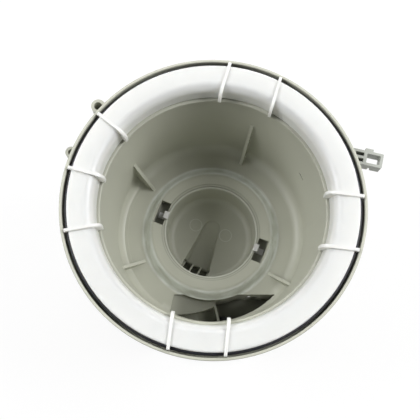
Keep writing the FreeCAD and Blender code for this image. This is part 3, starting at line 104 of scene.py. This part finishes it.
class SumpFinish(bpy.types.PropertyGroup):
    """Colours and surface sizes of the sump's pieces."""
    bowl: colour_property("Bowl", "Grey of the mineral-filled polypropylene moulding", "#B2B3A6")
    ring: colour_property("Ring nut", "White of the polypropylene ring nut", "#DFDFDB")
    gasket: colour_property("Gasket", "Dark rubber between flange and tub", "#15151E")
    catch: colour_property("Catches", "Light grey of the filter catches", "#C4C4C2")
    bracket: colour_property("Bracket", "Light grey of the clip bracket", "#9EA19A")
    pump: colour_property("Pump cover", "Dark grey of the pump's cover", "#4A4C4E")
    elbow: colour_property("Outlet", "Mid grey of the drain outlet", "#7D7D78")
    copper: colour_property("Winding", "Enamelled copper wire", "#9C5833")
    # Limescale, and also a painted highlight on the collar's slope and along the mouth's edge; the
    # ejector marks are tinted with it too.
    scale: colour_property("Limescale", "Film that hard water leaves on the collar", "#F0F4F1")
    # Painted shade: it darkens the catches' pockets, the up-facing ledges below the floor, the
    # slot in the wall and the corners of the mouth's steps.
    painted_shade: colour_property("Grime", "What settles where the water stands", "#4A4B40")
    grain: bpy.props.FloatProperty(
        name="Mould grain", description="Size of the fine grain that the mould leaves",
        default=0.8 * MM, min=0.1 * MM, max=5 * MM, unit="LENGTH", precision=4)
    ripple: bpy.props.FloatProperty(
        name="Sink ripple", description="Width of the shallow waves that shrinkage leaves",
        default=14 * MM, min=2 * MM, max=60 * MM, unit="LENGTH")
    wire: bpy.props.FloatProperty(
        name="Wire", description="Distance from turn to turn in the winding",
        default=0.7 * MM, min=0.1 * MM, max=2 * MM, unit="LENGTH", precision=4)
    sheet: bpy.props.FloatProperty(
        name="Core sheet", description="Distance from sheet to sheet in the stator core",
        default=1.0 * MM, min=0.2 * MM, max=3 * MM, unit="LENGTH", precision=4)


class SumpStage(bpy.types.PropertyGroup):
    """Camera, light and floor."""
    camera_place: bpy.props.FloatVectorProperty(
        name="Camera", description="Where the camera stands", subtype="TRANSLATION", unit="LENGTH",
        default=(-11.9 * MM, -111.7 * MM, 634.6 * MM))
    camera_target: bpy.props.FloatVectorProperty(
        name="Aim", description="The point that the camera looks at", subtype="TRANSLATION",
        unit="LENGTH", default=(-2.8 * MM, -5.2 * MM, 168 * MM))
    lens: bpy.props.FloatProperty(
        name="Lens", description="Focal length on a sensor of 36 mm", default=58.92, min=10,
        max=300)
    floor_size: bpy.props.FloatProperty(
        name="Floor", description="Width of the floor", default=6.0, min=1, max=50, unit="LENGTH")
    sky: bpy.props.FloatProperty(
        name="Room light", description="Even light from all round", default=0.11, min=0, max=2)
    left: bpy.props.FloatProperty(
        name="Left softbox", description="Power of the softbox on the left", default=15.8, min=0,
        max=500, unit="POWER")
    right: bpy.props.FloatProperty(
        name="Right softbox", description="Power of the softbox on the right", default=18.8, min=0,
        max=500, unit="POWER")
    beyond: bpy.props.FloatProperty(
        name="Far softbox", description="Power of the softbox beyond the bowl", default=7.0, min=0,
        max=500, unit="POWER")


def feed(tree, node, **inputs):
    """Give a node's sockets values or links. _0 is the first socket, Base_Color is Base Color."""
    for name, value in inputs.items():
        number = name[1:]
        socket = node.inputs[int(number) if number.isdigit() else name.replace("_", " ")]
        if isinstance(value, bpy.types.NodeSocket):
            tree.links.new(value, socket)
        else:
            socket.default_value = value


def add(tree, kind, settings=None, **inputs):
    """Add a node with its settings, and feed its sockets."""
    node = tree.nodes.new(kind)
    for name, value in (settings or {}).items():
        setattr(node, name, value)
    feed(tree, node, **inputs)
    return node


def start(name, **constants):
    """A new material with its shader; constants are values of the shader's own sockets."""
    material = bpy.data.materials.new(name)
    material.use_nodes = True
    tree = material.node_tree
    shader = tree.nodes["Principled BSDF"]
    feed(tree, shader, **constants)
    return material, tree, shader


def shade(colour, factor=1.0):
    """A colour made darker or lighter, with full opacity."""
    return tuple(min(1.0, c * factor) for c in colour[:3]) + (1.0,)


def moulded(name, colour, finish, roughness, ior=1.49, cloud=0.06, **constants):
    """Injection-moulded plastic: polished mould skin, shrinkage waves and a fine grain."""
    material, tree, shader = start(name, IOR=ior, **constants)
    place = add(tree, "ShaderNodeTexCoord").outputs["Object"]
    # Filler that flowed unevenly gives broad, faint clouds in the colour.
    clouds = add(tree, "ShaderNodeTexNoise", Vector=place, Scale=1 / CLOUD, Detail=2.0)
    tint = add(tree, "ShaderNodeMix", COLOUR, Factor=clouds.outputs["Fac"],
               A=shade(colour, 1 - cloud), B=shade(colour, 1 + cloud))
    # The skin is glossier where the melt met the mould hot, which breaks up the highlights.
    skin = add(tree, "ShaderNodeMapRange", Value=clouds.outputs["Fac"], To_Min=roughness - 0.05,
               To_Max=roughness + 0.07)
    ripple = add(tree, "ShaderNodeTexNoise", Vector=place, Scale=1 / finish.ripple, Detail=1.0)
    waves = add(tree, "ShaderNodeBump", Height=ripple.outputs["Fac"], Strength=1.0,
                Distance=RIPPLE_DEPTH)
    # Real grain is 0.05 to 0.1 mm, too fine to show, so it is drawn coarser.
    grain = add(tree, "ShaderNodeTexNoise", Vector=place, Scale=1 / finish.grain, Detail=3.0)
    bump = add(tree, "ShaderNodeBump", Height=grain.outputs["Fac"], Strength=1.0,
               Distance=GRAIN_DEPTH, Normal=waves.outputs["Normal"])
    feed(tree, shader, Base_Color=tint.outputs["Result"], Roughness=skin.outputs["Result"],
         Normal=bump.outputs["Normal"])
    return material


def band(tree, value, ends, soft):
    """1 between both ends and 0 beyond them, with soft edges."""
    low, high = ends
    rise = add(tree, "ShaderNodeMapRange", SMOOTH, Value=value, From_Min=low - soft,
               From_Max=low + soft)
    fall = add(tree, "ShaderNodeMapRange", SMOOTH, Value=value, From_Min=high - soft,
               From_Max=high + soft, To_Min=1.0, To_Max=0.0)
    both = add(tree, "ShaderNodeMath", TIMES, _0=rise.outputs["Result"], _1=fall.outputs["Result"])
    return both.outputs[0]


def flattened(tree, place):
    """The place moved down to height 0."""
    return add(tree, "ShaderNodeVectorMath", TIMES, _0=place, _1=(1.0, 1.0, 0.0)).outputs["Vector"]


def distance_from(tree, place, x, y):
    """Distance from the upright line through x, y."""
    away = add(tree, "ShaderNodeVectorMath", {"operation": "DISTANCE"}, _0=flattened(tree, place),
               _1=(x, y, 0.0))
    return away.outputs["Value"]


def limescale_and_highlight(tree, place, radius, height, body, finish):
    """Limescale and painted highlight: a pale film on the collar's slope in streaks round the
    axis, thinner in wiped patches.
    """
    turn = add(tree, "ShaderNodeVectorMath", {"operation": "NORMALIZE"}, _0=flattened(tree, place))
    along = add(tree, "ShaderNodeVectorMath", {"operation": "SCALE"}, _0=turn.outputs["Vector"],
                Scale=STREAKS_A_RADIAN)
    across = add(tree, "ShaderNodeMath", {"operation": "DIVIDE"}, _0=radius, _1=STREAK_WIDTH)
    lift = add(tree, "ShaderNodeCombineXYZ", Z=across.outputs[0])
    run = add(tree, "ShaderNodeVectorMath", {"operation": "ADD"}, _0=along.outputs["Vector"],
              _1=lift.outputs["Vector"])
    streaks = add(tree, "ShaderNodeTexNoise", Vector=run.outputs["Vector"], Scale=1.0, Detail=3.0,
                  Distortion=0.6)
    film = add(tree, "ShaderNodeMapRange", Value=streaks.outputs["Fac"], From_Min=0.34,
               From_Max=0.54, To_Min=0.55)
    patches = add(tree, "ShaderNodeTexNoise", Vector=place, Scale=1 / FILM_PATCH, Detail=2.0)
    thicker = add(tree, "ShaderNodeMapRange", Value=patches.outputs["Fac"], From_Min=0.36,
                  From_Max=0.56, To_Min=0.75)
    film = add(tree, "ShaderNodeMath", TIMES, _0=film.outputs["Result"],
               _1=thicker.outputs["Result"])
    above = add(tree, "ShaderNodeMath", {"operation": "GREATER_THAN"}, _0=height, _1=FLOOR_Z)
    # Limescale and painted highlight on the collar's slope.
    share = add(tree, "ShaderNodeMath", TIMES, _0=band(tree, radius, COLLAR_R, 1.2 * MM),
                _1=film.outputs[0])
    share = add(tree, "ShaderNodeMath", TIMES, _0=share.outputs[0], _1=above.outputs[0])
    return add(tree, "ShaderNodeMix", COLOUR, Factor=share.outputs[0], A=body,
               B=shade(finish.scale)).outputs["Result"]


def painted_shade_below(tree, radius, height, body, finish):
    """Painted shade in the catches' pockets, and on what faces up below the floor but the well."""
    # Painted shade in the catches' pockets.
    pockets = add(tree, "ShaderNodeMath", TIMES, _0=band(tree, radius, POCKET_R, 0.2 * MM),
                  _1=band(tree, height, POCKET_Z, 1 * MM))
    below = add(tree, "ShaderNodeMapRange", SMOOTH, Value=height, From_Min=FLOOR_Z - 2 * MM,
                From_Max=FLOOR_Z, To_Min=1.0, To_Max=0.0)
    facing = add(tree, "ShaderNodeSeparateXYZ",
                 _0=add(tree, "ShaderNodeNewGeometry").outputs["Normal"])
    up = add(tree, "ShaderNodeMapRange", SMOOTH, Value=facing.outputs["Z"], From_Min=0.3,
             From_Max=0.7)
    # Painted shade on what faces up below the floor.
    ledges = add(tree, "ShaderNodeMath", TIMES, _0=below.outputs["Result"],
                 _1=up.outputs["Result"])
    ledges = add(tree, "ShaderNodeMath", TIMES, _0=ledges.outputs[0],
                 _1=band(tree, radius, BELOW_FLOOR_R, 0.2 * MM))
    shaded = add(tree, "ShaderNodeMath", {"operation": "MAXIMUM"}, _0=pockets.outputs[0],
               _1=ledges.outputs[0])
    shaded = add(tree, "ShaderNodeMath", TIMES, _0=shaded.outputs[0], _1=PAINTED_SHADE_COVER)
    return add(tree, "ShaderNodeMix", COLOUR, Factor=shaded.outputs[0], A=body,
               B=shade(finish.painted_shade)).outputs["Result"]


def painted_shade_in_slot(tree, place, radius, body, finish):
    """Painted shade, nearly black, fills the slot in the bowl's wall, 1.8 mm deep."""
    away = add(tree, "ShaderNodeVectorMath", {"operation": "DISTANCE"}, _0=place, _1=SLOT_MIDDLE)
    near = add(tree, "ShaderNodeMath", {"operation": "LESS_THAN"}, _0=away.outputs["Value"],
               _1=SLOT_REACH)
    # Painted shade in the slot.
    slot = add(tree, "ShaderNodeMath", TIMES, _0=near.outputs[0],
               _1=band(tree, radius, SLOT_R, 0.1 * MM))
    slot = add(tree, "ShaderNodeMath", TIMES, _0=slot.outputs[0], _1=SLOT_COVER)
    return add(tree, "ShaderNodeMix", COLOUR, Factor=slot.outputs[0], A=body,
               B=shade(finish.painted_shade, 0.3)).outputs["Result"]


def mouth_painted_light(tree, radius, height, body, finish):
    """A painted highlight along the mouth's edge, and painted shade in the corners of its steps.
    """
    above = add(tree, "ShaderNodeMath", {"operation": "GREATER_THAN"}, _0=height, _1=MOUTH_Z)
    for ends, cover, colour in ((MOUTH_EDGE_R, MOUTH_EDGE_COVER, finish.scale),
                                (MOUTH_LOWER_STEP_R, MOUTH_LOWER_STEP_COVER, finish.painted_shade),
                                (MOUTH_UPPER_STEP_R, MOUTH_UPPER_STEP_COVER, finish.painted_shade)):
        # Painted highlight on the edge, painted shade in the steps' corners.
        line = add(tree, "ShaderNodeMath", TIMES, _0=above.outputs[0],
                   _1=band(tree, radius, ends, 0.25 * MM))
        line = add(tree, "ShaderNodeMath", TIMES, _0=line.outputs[0], _1=cover)
        body = add(tree, "ShaderNodeMix", COLOUR, Factor=line.outputs[0], A=body,
                   B=shade(colour)).outputs["Result"]
    return body


def ejector_marks(tree, place, height):
    """1 on the thin rings, 11 mm across, that two ejectors left on the well's floor."""
    left, right = (band(tree, distance_from(tree, place, x, y), EJECTOR_RING_R, 0.2 * MM)
                   for x, y in EJECTORS)
    rings = add(tree, "ShaderNodeMath", {"operation": "ADD"}, _0=left, _1=right)
    deep = add(tree, "ShaderNodeMath", {"operation": "LESS_THAN"}, _0=height, _1=WELL_Z)
    return add(tree, "ShaderNodeMath", TIMES, _0=rings.outputs[0], _1=deep.outputs[0]).outputs[0]


def limescale_marks_and_painted_light(material, finish):
    """Add limescale, painted highlights, painted shade and ejector marks to the finish of the
    body.
    """
    tree = material.node_tree
    shader = tree.nodes["Principled BSDF"]
    place = add(tree, "ShaderNodeTexCoord").outputs["Object"]
    radius = distance_from(tree, place, 0.0, 0.0)
    height = add(tree, "ShaderNodeSeparateXYZ", _0=place).outputs["Z"]
    body = shader.inputs["Base Color"].links[0].from_socket
    body = limescale_and_highlight(tree, place, radius, height, body, finish)
    body = painted_shade_below(tree, radius, height, body, finish)
    body = painted_shade_in_slot(tree, place, radius, body, finish)
    body = mouth_painted_light(tree, radius, height, body, finish)
    marks = ejector_marks(tree, place, height)
    pale = add(tree, "ShaderNodeMath", TIMES, _0=marks, _1=EJECTOR_COVER)
    body = add(tree, "ShaderNodeMix", COLOUR, Factor=pale.outputs[0], A=body,
               B=shade(finish.scale)).outputs["Result"]
    proud = add(tree, "ShaderNodeBump", Height=marks, Strength=1.0, Distance=EJECTOR_HEIGHT,
                Normal=shader.inputs["Normal"].links[0].from_socket)
    feed(tree, shader, Base_Color=body, Normal=proud.outputs["Normal"])
    return material


def rubber(name, colour, finish):
    """Moulded rubber: dark, with a dull gloss and a slightly dusty skin."""
    material, tree, shader = start(name, IOR=1.52)
    place = add(tree, "ShaderNodeTexCoord").outputs["Object"]
    dust = add(tree, "ShaderNodeTexNoise", Vector=place, Scale=1 / DUST, Detail=4.0)
    tint = add(tree, "ShaderNodeMix", COLOUR, Factor=dust.outputs["Fac"], A=shade(colour, 0.85),
               B=shade(colour, 1.25))
    skin = add(tree, "ShaderNodeMapRange", Value=dust.outputs["Fac"], To_Min=0.47, To_Max=0.63)
    grain = add(tree, "ShaderNodeTexNoise", Vector=place, Scale=1 / finish.grain, Detail=2.0)
    bump = add(tree, "ShaderNodeBump", Height=grain.outputs["Fac"], Strength=1.0,
               Distance=RUBBER_GRAIN_DEPTH)
    feed(tree, shader, Base_Color=tint.outputs["Result"], Roughness=skin.outputs["Result"],
         Normal=bump.outputs["Normal"])
    return material


def metal(name, colour, roughness):
    """Ground or punched metal: a worn, uneven colour and gloss."""
    material, tree, shader = start(name, Metallic=1.0)
    place = add(tree, "ShaderNodeTexCoord").outputs["Object"]
    worn = add(tree, "ShaderNodeTexNoise", Vector=place, Scale=1 / RUB, Detail=4.0)
    tint = add(tree, "ShaderNodeMix", COLOUR, Factor=worn.outputs["Fac"], A=shade(colour, 0.85),
               B=shade(colour, 1.1))
    gloss = add(tree, "ShaderNodeMapRange", Value=worn.outputs["Fac"], To_Min=roughness * 0.75,
                To_Max=roughness * 1.25)
    feed(tree, shader, Base_Color=tint.outputs["Result"], Roughness=gloss.outputs["Result"])
    return material


def layered(name, colour, spacing, direction, depth, roughness, **constants):
    """Turns of wire or stacked sheets: even grooves across one direction, with painted shade in
    them.
    """
    material, tree, shader = start(name, Roughness=roughness, **constants)
    place = add(tree, "ShaderNodeTexCoord").outputs["Object"]
    across = add(tree, "ShaderNodeVectorMath", {"operation": "DOT_PRODUCT"}, _0=place,
                 _1=tuple(d / spacing for d in direction))
    phase = add(tree, "ShaderNodeMath", {"operation": "FRACT"}, _0=across.outputs["Value"])
    ridge = add(tree, "ShaderNodeMath", {"operation": "PINGPONG"}, _0=phase.outputs[0], _1=0.5)
    # Painted shade: the colour is dark in the groove, and full from a fifth of the spacing on.
    crest = add(tree, "ShaderNodeMapRange", Value=ridge.outputs[0], From_Max=0.2)
    tint = add(tree, "ShaderNodeMix", COLOUR, Factor=crest.outputs["Result"],
               A=shade(colour, 0.45), B=shade(colour))
    bump = add(tree, "ShaderNodeBump", Height=ridge.outputs[0], Strength=1.0, Distance=depth)
    feed(tree, shader, Base_Color=tint.outputs["Result"], Normal=bump.outputs["Normal"])
    return material


def dress(material, *nodes):
    """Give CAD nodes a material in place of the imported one."""
    for node in nodes:
        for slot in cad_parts[node].material_slots:
            slot.material = material


class SUMP_OT_bowl(bpy.types.Operator):
    """Finish the bowl moulding, its grille and the filter catches"""
    bl_idname = "sump.bowl"
    bl_label = "Bowl"

    def execute(self, context):
        finish = context.scene.sump_finish
        # Mineral-filled polypropylene from a polished mould: a grey body under a soft gloss.
        grey = moulded("polypropylene_grey_moulded", finish.bowl, finish, 0.42)
        # Limescale, ejector marks, painted shade and painted highlights on the body.
        dress(limescale_marks_and_painted_light(grey, finish), "sump_body")
        dress(moulded("polypropylene_grey_grille", finish.bowl, finish, 0.42), "drain_grille")
        # Unfilled acetal from a polished mould: paler and smoother than the bowl.
        dress(moulded("acetal_light_grey_moulded", finish.catch, finish, 0.3, cloud=0.03),
              "filter_catches")
        return {"FINISHED"}


class SUMP_OT_ring(bpy.types.Operator):
    """Finish the ring nut, the gasket and the clip bracket"""
    bl_idname = "sump.ring"
    bl_label = "Ring nut, gasket and bracket"

    def execute(self, context):
        finish = context.scene.sump_finish
        # White polypropylene is milky, so light spreads a few millimetres inside it.
        dress(moulded("polypropylene_white_moulded", finish.ring, finish, 0.3, cloud=0.015,
                      Subsurface_Weight=0.8, Subsurface_Scale=8 * MM,
                      Subsurface_Radius=(1.0, 0.95, 0.9)), "ring_nut")
        dress(rubber("epdm_rubber_moulded", finish.gasket, finish), "tub_gasket")
        dress(moulded("polypropylene_pale_grey_moulded", finish.bracket, finish, 0.45, cloud=0.03),
              "side_bracket")
        return {"FINISHED"}


class SUMP_OT_pump(bpy.types.Operator):
    """Finish the drain pump's cover, rotor, bearings, core and winding"""
    bl_idname = "sump.pump"
    bl_label = "Drain pump"

    def execute(self, context):
        finish = context.scene.sump_finish
        dress(moulded("glass_filled_polypropylene_dark", finish.pump, finish, 0.5),
              "pump_cover", "bearing_carrier")
        dress(moulded("polyamide_black_moulded", linear("#26272A"), finish, 0.42),
              "pump_impeller")
        dress(moulded("polybutylene_ivory_moulded", linear("#D9D6C8"), finish, 0.42),
              "coil_bobbin")
        dress(moulded("alumina_ground", linear("#DAD8D0"), finish, 0.35, ior=1.76),
              "front_bush", "rear_bush")
        dress(moulded("ferrite_pressed", linear("#2B2B2D"), finish, 0.5, ior=2.0), "rotor_magnet")
        dress(metal("stainless_steel_ground", linear("#C9C9C6"), 0.22), "pump_shaft", "valve_pin")
        dress(metal("brass_punched", linear("#D8BE7A"), 0.28), "terminal_tabs")
        # Sheets are 0.5 mm thick, drawn twice as thick so that the stack shows.
        along = (math.cos(PUMP_AZIMUTH), math.sin(PUMP_AZIMUTH), 0.0)
        dress(layered("electrical_steel_sheets", linear("#8C9298"), finish.sheet, along, 0.15 * MM,
                      0.42, Metallic=0.8), "stator_core")
        # Wire is 0.2 mm thick, drawn thicker so that the turns show. Its enamel is glossy.
        dress(layered("copper_wire_enamelled", finish.copper, finish.wire, (0.0, 0.0, 1.0),
                      0.2 * MM, 0.3, Metallic=0.6, Coat_Weight=0.5), "coil_winding")
        return {"FINISHED"}


class SUMP_OT_outlet(bpy.types.Operator):
    """Finish the drain outlet, its flap, the seals, screws and the temperature sensor"""
    bl_idname = "sump.outlet"
    bl_label = "Outlet, seals and sensor"

    def execute(self, context):
        finish = context.scene.sump_finish
        dress(moulded("polypropylene_mid_grey_moulded", finish.elbow, finish, 0.42),
              "drain_elbow", "valve_seat")
        dress(rubber("nitrile_rubber_moulded", linear("#1E1E20"), finish),
              "pump_seal", "outlet_seal", "valve_flap", "sensor_grommet")
        dress(metal("zinc_plated_steel", linear("#BEBFB8"), 0.3), "elbow_screws")
        dress(moulded("polyamide_sensor_black", linear("#232326"), finish, 0.4),
              "temperature_sensor")
        return {"FINISHED"}


def floor_material(name):
    """White paper: the camera and reflections see it near white, with the object's shadow."""
    material, tree, shader = start(name, Base_Color=(0.95, 0.95, 0.95, 1.0), Roughness=0.9)
    rays = add(tree, "ShaderNodeLightPath")
    seen = add(tree, "ShaderNodeMath", {"operation": "ADD", "use_clamp": True},
               _0=rays.outputs["Is Camera Ray"], _1=rays.outputs["Is Glossy Ray"])
    seen = add(tree, "ShaderNodeMath", {"operation": "ADD", "use_clamp": True},
               _0=seen.outputs[0], _1=rays.outputs["Is Transmission Ray"])
    share = add(tree, "ShaderNodeMath", TIMES, _0=seen.outputs[0], _1=FLOOR_GLOW)
    glow = add(tree, "ShaderNodeEmission", Color=(1.0, 1.0, 1.0, 1.0), Strength=1.0)
    both = add(tree, "ShaderNodeMixShader", _0=share.outputs[0], _1=shader.outputs[0],
               _2=glow.outputs[0])
    feed(tree, tree.nodes["Material Output"], Surface=both.outputs[0])
    return material


def softbox(name, place, size, power):
    """A rectangular light that points at the middle of the bowl."""
    light = bpy.data.lights.new(name, "AREA")
    light.shape = "RECTANGLE"
    light.size, light.size_y = size
    light.energy = power
    lamp = bpy.data.objects.new(name, light)
    bpy.context.scene.collection.objects.link(lamp)
    lamp.location = place
    lamp.rotation_euler = (BOWL_MIDDLE - Vector(place)).to_track_quat("-Z", "Y").to_euler()


class SUMP_OT_stage(bpy.types.Operator):
    """Set the floor, the light and the camera"""
    bl_idname = "sump.stage"
    bl_label = "Stage"

    def execute(self, context):
        stage = context.scene.sump_stage
        half = stage.floor_size / 2
        mesh = bpy.data.meshes.new("floor")
        mesh.from_pydata([(-half, -half, 0), (half, -half, 0), (half, half, 0), (-half, half, 0)],
                         [], [(0, 1, 2, 3)])
        floor = bpy.data.objects.new("floor", mesh)
        context.scene.collection.objects.link(floor)
        mesh.materials.append(floor_material("paper_white"))

        # The camera sees a white room, and the object gets its weaker, even light.
        world = bpy.data.worlds.new("room")
        context.scene.world = world
        world.use_nodes = True
        tree = world.node_tree
        rays = add(tree, "ShaderNodeLightPath")
        plain = add(tree, "ShaderNodeMix", {"data_type": "FLOAT"},
                    Factor=rays.outputs["Is Camera Ray"], A=stage.sky, B=1.0)
        feed(tree, tree.nodes["Background"], Color=(1.0, 1.0, 1.0, 1.0),
             Strength=plain.outputs["Result"])

        # Places and sizes are in metres.
        softbox("softbox_left", (-1.0, 0.2, 1.1), (0.7, 0.7), stage.left)
        softbox("softbox_right", (1.0, 0.2, 1.1), (0.7, 0.7), stage.right)
        softbox("softbox_beyond", (0.0, 1.0, 1.1), (0.9, 0.6), stage.beyond)

        data = bpy.data.cameras.new("camera")
        data.sensor_width = 36
        data.lens = stage.lens
        camera = bpy.data.objects.new("camera", data)
        context.scene.collection.objects.link(camera)
        # The far side of the sump is up in the picture.
        back = (Vector(stage.camera_place) - Vector(stage.camera_target)).normalized()
        right = Vector((0, 1, 0)).cross(back).normalized()
        up = back.cross(right)
        turn = Matrix((right, up, back)).transposed().to_4x4()
        camera.matrix_world = Matrix.Translation(stage.camera_place) @ turn
        context.scene.camera = camera
        context.scene.view_settings.view_transform = "Standard"
        return {"FINISHED"}


class SUMP_PT_panel(bpy.types.Panel):
    """The sump's operators and values"""
    bl_label = "Dishwasher sump"
    bl_idname = "SUMP_PT_panel"
    bl_space_type = "VIEW_3D"
    bl_region_type = "UI"
    bl_category = "Sump"

    def draw(self, context):
        layout = self.layout
        for operator in STEPS:
            layout.operator(operator.bl_idname)
        for group in (context.scene.sump_finish, context.scene.sump_stage):
            for name in group.__annotations__:
                layout.prop(group, name)


STEPS = (SUMP_OT_bowl, SUMP_OT_ring, SUMP_OT_pump, SUMP_OT_outlet, SUMP_OT_stage)
CLASSES = (SumpFinish, SumpStage) + STEPS + (SUMP_PT_panel,)


def register():
    for cls in CLASSES:
        bpy.utils.register_class(cls)
    bpy.types.Scene.sump_finish = bpy.props.PointerProperty(type=SumpFinish)
    bpy.types.Scene.sump_stage = bpy.props.PointerProperty(type=SumpStage)


def unregister():
    del bpy.types.Scene.sump_stage
    del bpy.types.Scene.sump_finish
    for cls in reversed(CLASSES):
        bpy.utils.unregister_class(cls)


def main():
    register()
    bpy.ops.sump.bowl()
    bpy.ops.sump.ring()
    bpy.ops.sump.pump()
    bpy.ops.sump.outlet()
    bpy.ops.sump.stage()


if __name__ == "__main__":
    main()
